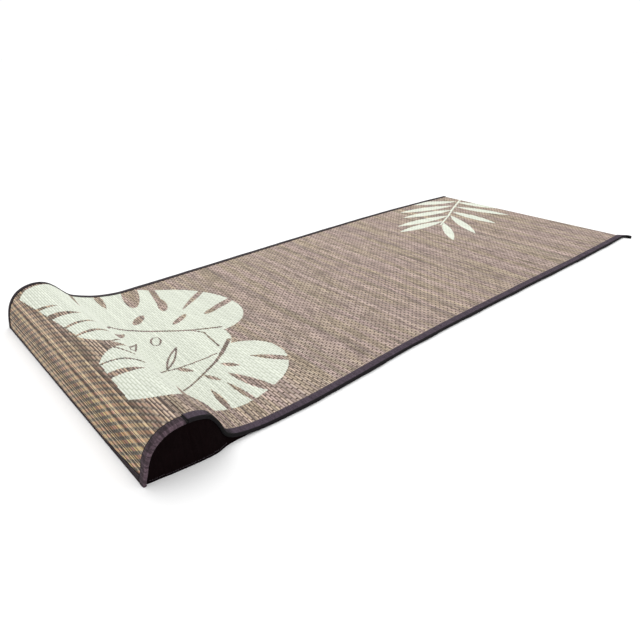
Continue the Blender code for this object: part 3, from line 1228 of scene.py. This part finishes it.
def bead():
    """Points of one stitch: x along it, y beside it and z up, all in metres."""
    points = []
    for share in BEAD_RINGS:
        arch = math.sin(math.pi * share)
        radius = max(arch**0.5, 0.25) * BEAD_WIDTH / 2
        for k in range(BEAD_SIDES):
            angle = 2 * math.pi * k / BEAD_SIDES
            z = math.sin(angle) * radius + (arch - 1) * BEAD_SAG
            points.append(((share - 0.5) * BEAD_LENGTH, math.cos(angle) * radius, z))
    return np.array(points)


def bead_faces():
    faces = []
    for r in range(len(BEAD_RINGS) - 1):
        for k in range(BEAD_SIDES):
            a = r * BEAD_SIDES + k
            b = r * BEAD_SIDES + (k + 1) % BEAD_SIDES
            faces.append((a, b, b + BEAD_SIDES, a + BEAD_SIDES))
    last = (len(BEAD_RINGS) - 1) * BEAD_SIDES
    faces.append(tuple(reversed(range(BEAD_SIDES))))
    faces.append(tuple(last + k for k in range(BEAD_SIDES)))
    return faces


print("points of one stitch:", len(bead()))

# %% [markdown]
# ## Seams
# A seam needs three things at each stitch: where it is, which way the seam runs, and which
# way is out of the cloth. All three come from the guiding surface, a little further along or
# a little higher.

# %% Seams
STITCH_PITCH = 3.4 * MM
STITCH_INSET = 2.4 * MM
ON_TAPE = TAPE_TOP - 0.25 * MM


def sew(name, spots, runs, ups, finish=thread):
    """A stitch at every spot, with its length along run and its back towards up."""
    unit = bead()
    runs = runs / np.linalg.norm(runs, axis=1)[:, None]
    sides = np.cross(ups, runs)
    sides /= np.linalg.norm(sides, axis=1)[:, None]
    ups = np.cross(runs, sides)
    points = (
        spots[:, None]
        + unit[:, 0, None] * runs[:, None]
        + unit[:, 1, None] * sides[:, None]
        + unit[:, 2, None] * ups[:, None]
    )
    faces = []
    for start in range(0, len(spots) * len(unit), len(unit)):
        faces.extend(tuple(start + corner for corner in face) for face in bead_faces())
    made = new_piece(name, points, faces, [finish])
    print(f"{name}: {len(spots)} stitches")
    return made


def seam(name, side, first, last):
    """A row of stitches near the inner edge of a tape along one side."""
    inset = BAND[side] - STITCH_INSET
    across = inset if side == "near" else WIDTH - inset
    rows = rows_along(across, first, last, STITCH_PITCH)[0]
    rows = (rows[1:] + rows[:-1]) / 2
    across = across - narrower(name, rows)
    spots = place(rows, across, ON_TAPE)
    ups = place(rows, across, ON_TAPE - MM) - spots
    runs = place(rows + 0.01, across, ON_TAPE) - spots
    return sew(name, spots, runs, ups)


for side in ("near", "far"):
    for part, first, last in (
        ("pillow", 0.1, TAPE_JOIN - 0.05),
        ("side", TAPE_JOIN + 0.1, LAST - 0.02),
    ):
        seam(f"seam_{side}_{part}", side, first, last)

# %% [markdown]
# ## The tape at the head
# The lower edge of the head end has its own length of tape, between the two long ones. It
# shows most near the camera, where it was caught higher, and narrows after that. Its rings
# run along the tape, each from its top down to the floor and back up inside.

# %% Head tape
HEAD_TAPE_NEAR = 14 * MM
HEAD_TAPE_REST = 4 * MM
HEAD_TAPE_TAPER = 120 * MM
HEAD_STEPS = 7
HEAD_COLUMN = 4 * MM
HEAD_FIRST = BAND["near"] - NARROW_LOW + GAP
HEAD_LAST = WIDTH - BAND["far"] - GAP

# How much the upper edge wanders, and by what share of itself the puff of the tape changes
EDGE_WANDER = 0.5 * MM
EDGE_LENGTH = 0.4
PUFF_WANDER = 0.4
PUFF_LENGTH = 0.05

# How far the fold at the floor stands out, and how high on the tape its seam runs
CURL = 0.2 * MM
HEAD_SEAM_AT = 0.84


def head_tape_rings(across):
    """Rings of the head tape, and the row of its top at each."""
    draws = np.random.default_rng(5)
    height = blend(HEAD_TAPE_NEAR, HEAD_TAPE_REST, np.clip(across / HEAD_TAPE_TAPER, 0, 1))
    height += slow_waves(across, draws, EDGE_LENGTH) * EDGE_WANDER
    top_row = (height - SECTIONS[0][1]) / (SECTIONS[1][1] - SECTIONS[0][1])
    share = np.linspace(1.0, 0.0, HEAD_STEPS)
    puff = np.sin(math.pi * share) ** 0.7 * CROWN
    puff = puff * (1 + PUFF_WANDER * slow_waves(across, draws, PUFF_LENGTH))[:, None]
    outer = place(top_row[:, None] * share, across[:, None], TAPE_TOP - puff)
    inner = place(top_row[:, None] * share[::-1], across[:, None], -GAP)
    inner[:, 0, 2] = TAPE
    low_out = outer[:, -1:] * (1, 1, 0)
    curl = (outer[:, -1:] + low_out) / 2 - np.array([CURL, 0.0, 0.0])
    low_in = low_out.copy()
    low_in[:, 0, 0] = place(0.0, across, RUSH_EDGE)[:, 0]
    fold_in = low_in + np.array([0.0, 0.0, TAPE])
    return np.concatenate([outer, curl, low_out, low_in, fold_in, inner], 1), top_row


def make_head_tape():
    count = round((HEAD_LAST - HEAD_FIRST) / HEAD_COLUMN)
    across = np.linspace(HEAD_FIRST, HEAD_LAST, count)
    rings, top_row = head_tape_rings(across)
    lay = plain_lay(rings, across[:, None], np.arange(rings.shape[1]) * 2 * MM)
    made = loft("tape_head", rings, [tape_cotton["head"]], lay)
    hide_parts("binding_head")
    spots_across = np.arange(HEAD_FIRST + 3 * MM, HEAD_LAST, STITCH_PITCH)
    rows = np.interp(spots_across, across, top_row) * HEAD_SEAM_AT
    spots = place(rows, spots_across, ON_TAPE)
    ups = place(rows, spots_across, TAPE_TOP - MM) - spots
    runs = place(rows, spots_across + MM, TAPE_TOP) - place(rows, spots_across, TAPE_TOP)
    path = np.linalg.norm(np.diff(rings[:, :HEAD_STEPS + 4], axis=1), axis=2).sum(1)
    flat = (float(path.mean()), HEAD_LAST - HEAD_FIRST)
    print(f"tape_head: cut {flat[0]:.4f} x {flat[1]:.3f} m")
    return made, sew("seam_head", spots, runs, ups), flat


head_tape, head_seam, head_tape_flat = make_head_tape()

# %% [markdown]
# ## The end panels
# A dark cloth closes each end of the pillow under the lip of the binding. The filling
# pushes it out a little, its hem is stitched along the floor, and a seam runs down from the
# place where the tape is joined. A grid over its outline can hold all of them as small
# changes of depth: a swell, a groove, tucks, a step at the hem, and a belly near the floor
# that the cloth behind it follows.

# %% Relief of the end panels
PANEL_STEP = 1.3 * MM
PANEL_LEVELS = 36
SWELL = 2.4 * MM
BELLY = 6.0 * MM
TUCK = 0.12 * MM
TUCKS = 5
HEM = 6.0 * MM
HEM_OUT = 0.7 * MM
HEM_LIFT = 0.6 * MM
GROOVE = 1.1 * MM
GROOVE_WIDTH = 1.6 * MM
SEAM_TOP = 70 * MM
SEAM_LEAN = 0.08


def panel_relief(x, z, level, middle, seam_x):
    """How far the outer face stands out from a flat one."""
    draws = np.random.default_rng(21)
    top = z[:, -1:]
    swell = middle**0.6 * np.sin(math.pi * level) ** 0.7 * SWELL
    swell = swell * smooth_step(top, 4 * MM, 40 * MM)
    groove = np.exp(-(((x - seam_x) / GROOVE_WIDTH) ** 2)) * GROOVE * smooth_step(z, 0, HEM)
    tucks = sum(
        np.sin(x * draws.uniform(120, 420) + z * draws.uniform(-90, 260) + k)
        for k in range(TUCKS)
    )
    tucks = tucks * TUCK * smooth_step(z, HEM, 3 * HEM) * smooth_step(top - z, 0, HEM)
    hem = (1 - smooth_step(z, HEM - MM, HEM + 0.5 * MM)) * HEM_OUT
    return swell - groove + tucks + hem * smooth_step(top, HEM, 3 * HEM)


def panel_grids(side):
    """The outer and the inner face of an end panel, each as a grid of points."""
    outward = 1.0 if side == "far" else -1.0
    across_out = WIDTH - PANEL_INSET if side == "far" else PANEL_INSET
    depth = RUSH_EDGE + GAP
    rows = rows_along(across_out, 0.0, PANEL_TAIL, PANEL_STEP)[0]
    level = np.linspace(0.0, 1.0, PANEL_LEVELS)
    grids = []
    for across in (across_out, across_out - outward * PANEL):
        top = place(rows, across, depth)
        grid = np.repeat(top[:, None], PANEL_LEVELS, 1)
        grid[..., 2] = top[:, None, 2] * level
        grids.append(grid)
    x = grids[0][..., 0] - HEAD_X
    z = grids[0][..., 2]
    share = (x - x.min()) / (x.max() - x.min())
    middle = np.sin(math.pi * np.clip(share, 0, 1))
    seam_x = place(TAPE_JOIN, across_out, depth)[0] - HEAD_X + (SEAM_TOP - z) * SEAM_LEAN
    belly = middle**1.3 * (1 - level) ** 1.5 * BELLY
    relief = panel_relief(x, z, level, middle, seam_x)
    lift = middle**2 * HEM_LIFT * (1 - level)
    for grid, out in zip(grids, (relief + belly, belly)):
        grid[..., 1] += outward * out
        grid[..., 2] += lift
    return grids


# %% [markdown]
# ## Two end panels
# The two faces become one closed cloth. The hem seam follows its outer face, so the beads
# are set on the grid points that lie nearest to the seam's height.

# %% End panels
def sew_hem(side, grid):
    """A row of stitches along the hem, where the panel is high enough to have one."""
    outward = np.array([0.0, 1.0 if side == "far" else -1.0, 0.0])
    x = grid[:, 0, 0]
    keep = np.flatnonzero(grid[:, -1, 2] > 2 * HEM)
    spots = []
    for x_at in np.arange(x[keep[0]] + 4 * MM, x[keep[-1]] - 4 * MM, STITCH_PITCH):
        column = grid[np.argmin(abs(x - x_at))]
        height = column[0, 2] + HEM * 0.75
        spots.append(column[np.argmin(abs(column[:, 2] - height))] + outward * 0.2 * MM)
    runs = np.gradient(np.array(spots), axis=0)
    return sew(f"seam_panel_{side}", np.array(spots), runs, np.tile(outward, (len(spots), 1)))


def make_end_panel(side):
    out, back = panel_grids(side)
    rings = np.concatenate([out, back[:, ::-1]], 1)
    lay = plain_lay(rings, rings[..., 0] - HEAD_X, rings[..., 2])
    made = loft(f"panel_{side}", rings, [panel_cotton], lay)
    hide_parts(f"end_panel_{side}")
    return made, sew_hem(side, out)


panels = [make_end_panel(side) for side in ("near", "far")]

# %% [markdown]
# ## The pad
# The pillow itself is a filled pad that only shows from below, where it lies flat on the
# floor. It keeps the shape that the rush gives it: rounded over the top, flat beneath, with
# soft edges all round and shallow puckers where the filling is tied.

# %% Pad
PAD_STEP = 7 * MM
PAD_COLUMNS = 61
PAD_BASE = 25
PAD_UNDER = RUSH + GAP + 0.5 * MM

# Near the two ends the top is drawn in, and round its foot the base is lifted: reach, amount
PAD_END = (30 * MM, 2.0 * MM)
PAD_EDGE = (5 * MM, 1.5 * MM)

# Puckers of the base: how far apart they lie along and across, and their depth
PAD_TIES = (45 * MM, 60 * MM)
PAD_PUCKER = 1.2 * MM


def near_edge(inward, reach, amount):
    """The amount at an edge, fading to 0 within its reach."""
    return (1 - smooth_step(inward, 0.0, reach)) * amount


def make_pad():
    rows = rows_along(WIDTH / 2, 0.05, PILLOW_TAIL, PAD_STEP)[0]
    across = np.linspace(PILLOW_INSET, WIDTH - PILLOW_INSET, PAD_COLUMNS)
    inward = np.minimum(across - across[0], across[-1] - across)
    drawn_in = near_edge(inward, *PAD_END)
    top = place(rows, across[:, None], PAD_UNDER + drawn_in[:, None])
    share = np.linspace(1.0, 0.0, PAD_BASE + 2)[1:-1]
    base = blend(top[:, :1], top[:, -1:], share[None, :, None])
    x = base[..., 0] - HEAD_X
    y = base[..., 1]
    tie = np.cos(2 * math.pi * x / PAD_TIES[0]) * np.cos(2 * math.pi * y / PAD_TIES[1])
    inward = np.minimum(share, 1 - share) * (top[:, -1:, 0] - top[:, :1, 0])
    base[..., 2] = near_edge(inward, *PAD_EDGE) + np.maximum(tie, 0.0) ** 4 * PAD_PUCKER
    rings = np.concatenate([top, base], 1)
    lay = plain_lay(rings, rings[..., 0] - HEAD_X, rings[..., 1])
    made = loft("pad", rings, [panel_cotton], lay)
    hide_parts("pillow")
    print("pad:", len(made.data.polygons), "faces")
    return made


pad = make_pad()

# %% [markdown]
# ## The foot edge
# No tape covers the foot edge. A grey overcast thread holds the last strands instead: short
# stitches that reach from the face over the cut edge. The same bead serves, set crosswise.

# %% Overcast foot edge
OVERCAST_PITCH = 2.6 * MM
OVERCAST_TONE = linear(150, 140, 136)
overcast_thread = thread_finish("overcast_thread", OVERCAST_TONE)

# Each stitch shows twice, on the face and on the cut edge: how far it lies from the edge and
# under the face, its direction, and which way it faces
OVERCAST_BEADS = (
    (1.6 * MM, -0.25 * MM, (1.0, 0.25, -0.1), (0.1, 0.0, 1.0)),
    (-0.15 * MM, 1.3 * MM, (0.15, 0.25, -1.0), (1.0, 0.0, 0.1)),
)


def make_overcast():
    across = np.arange(BAND["near"] + 2 * MM, WIDTH - BAND["far"], OVERCAST_PITCH)
    parts = []
    for from_edge, depth, run, up in OVERCAST_BEADS:
        spots = place(LAST, across, depth) - np.array([from_edge, 0.0, 0.0])
        parts.append((spots, np.tile(run, (len(spots), 1)), np.tile(up, (len(spots), 1))))
    spots, runs, ups = (np.concatenate(part) for part in zip(*parts))
    return sew("overcast_foot", spots, runs, ups, overcast_thread)


overcast = make_overcast()

# %% [markdown]
# ## What each cloth was before sewing
# Each tape is printed with the flat size it was cut to, so that anyone can check that the mesh
# hasn't stretched it. The tape is cut as wide as its whole path round the edge. An end panel is
# cut to a D; only the rectangle round it is measured here, and it is not printed.


def path_width(side, flange):
    """How wide the tape is when it lies flat."""
    across, depth = tape_path(BAND[side], flange, TAPE_TOP, TAPE_UNDER + TAPE, CROWN)
    return float(np.hypot(np.diff(across), np.diff(depth)).sum())


for node, (made, length) in tapes.items():
    side = node.split("_")[1]
    flange = FLANGE_ON_PILLOW if node.endswith("pillow") else min(FLANGE, BAND[side])
    flat = (path_width(side, flange), float(length))
    print(f"{made.name}: cut {flat[0]:.3f} x {flat[1]:.3f} m")
for made, hem_seam in panels:
    low, high = (Vector(corner) for corner in (made.bound_box[0], made.bound_box[6]))
    flat = (high.z - low.z, high.x - low.x)

# %% [markdown]
# ## The floor
# The floor is pale and very large, so that its edge is never seen, and catches a faint
# shadow. It lies a little under the mat, because two faces in one place would flicker.

# %% Floor
FLOOR_REACH = 14.0
FLOOR_DROP = 0.2 * MM
FLOOR_TONE = (0.97, 0.97, 0.97, 1.0)


def make_floor():
    finish = Finish("pale_floor", Base_Color=FLOOR_TONE, Roughness=0.9, Specular_IOR_Level=0.1)
    mesh = bpy.data.meshes.new("floor")
    r = FLOOR_REACH
    corners = [(-r, -r, 0.0), (r, -r, 0.0), (r, r, 0.0), (-r, r, 0.0)]
    mesh.from_pydata(corners, [], [(0, 1, 2, 3)])
    mesh.materials.append(finish.material)
    floor = bpy.data.objects.new("floor", mesh)
    floor.location.z = -FLOOR_DROP
    bpy.context.scene.collection.objects.link(floor)
    floor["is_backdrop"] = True


make_floor()

# %% [markdown]
# ## The light
# The photograph is a cut-out on white, with light from everywhere. A white sky gives that
# even light and also the white background, and one large lamp adds enough direction to show
# the strands.

# %% Light
SKY_STRENGTH = 1.04
LAMP_POWER = 20.0
LAMP_SIZE = 2.4
LAMP_AT = Vector((0.9, 1.6, 2.2))
LAMP_TO = Vector((0.5, 0.3, 0.0))
NEAR_CORNER = Vector((HEAD_X, NEAR_Y, 0.0))


def make_light():
    world = bpy.data.worlds.new("white_sky")
    world.use_nodes = True
    sky = world.node_tree.nodes["Background"].inputs
    sky["Color"].default_value = (1, 1, 1, 1)
    sky["Strength"].default_value = SKY_STRENGTH
    bpy.context.scene.world = world
    bpy.context.scene.view_settings.view_transform = "Standard"
    light = bpy.data.lights.new("soft_lamp", "AREA")
    light.shape = "DISK"
    light.size = LAMP_SIZE
    light.energy = LAMP_POWER
    lamp = bpy.data.objects.new("soft_lamp", light)
    lamp.location = NEAR_CORNER + LAMP_AT
    lamp.rotation_euler = (LAMP_TO - LAMP_AT).to_track_quat("-Z", "Y").to_euler()
    bpy.context.scene.collection.objects.link(lamp)


make_light()

# %% [markdown]
# ## The camera
# The camera was found from the mat itself: its four corners, both long sides and its width
# settle where the lens stood, so its place is given from the near corner of the head end.
# Its three directions are worked out from how far it is turned, tipped down and rolled.

# %% Camera
CAMERA_AT = Vector((-0.201, -0.533, 0.528))
CAMERA_TURN = math.radians(50.51)
CAMERA_DOWN = math.radians(30.45)
CAMERA_ROLL = math.radians(-0.73)
LENS = 30.79
SENSOR = 36.0
SHIFT = (0.0625, 0.0469)


def camera_directions(turn, down, roll):
    """The way to the right, up and backwards for the camera."""
    ahead = Vector(
        (math.cos(down) * math.cos(turn), math.cos(down) * math.sin(turn), -math.sin(down))
    )
    level = Vector((math.sin(turn), -math.cos(turn), 0.0))
    upright = level.cross(ahead)
    right = level * math.cos(roll) + upright * math.sin(roll)
    up = upright * math.cos(roll) - level * math.sin(roll)
    return right, up, -ahead


def make_camera():
    lens = bpy.data.cameras.new("camera")
    lens.lens = LENS
    lens.sensor_width = SENSOR
    lens.shift_x, lens.shift_y = SHIFT
    camera = bpy.data.objects.new("camera", lens)
    turned = Matrix(camera_directions(CAMERA_TURN, CAMERA_DOWN, CAMERA_ROLL)).transposed()
    camera.matrix_world = Matrix.Translation(NEAR_CORNER + CAMERA_AT) @ turned.to_4x4()
    bpy.context.scene.collection.objects.link(camera)
    bpy.context.scene.camera = camera


make_camera()
print("camera at", [round(value, 3) for value in NEAR_CORNER + CAMERA_AT])

# %% [markdown]
# ## The two boxes
# The size of the box round the dressed mat is printed beside the size of the box round its
# solids. They should differ by no more than stitches and strands stand out.

# %% Sizes for the record
visual_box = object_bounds()
boxes = {
    "cad": [list(corner) for corner in cad_box],
    "visual": [list(corner) for corner in visual_box],
}
for name, (low, high) in boxes.items():
    print(name, "box in mm:", [round((b - a) / MM, 1) for a, b in zip(low, high)])
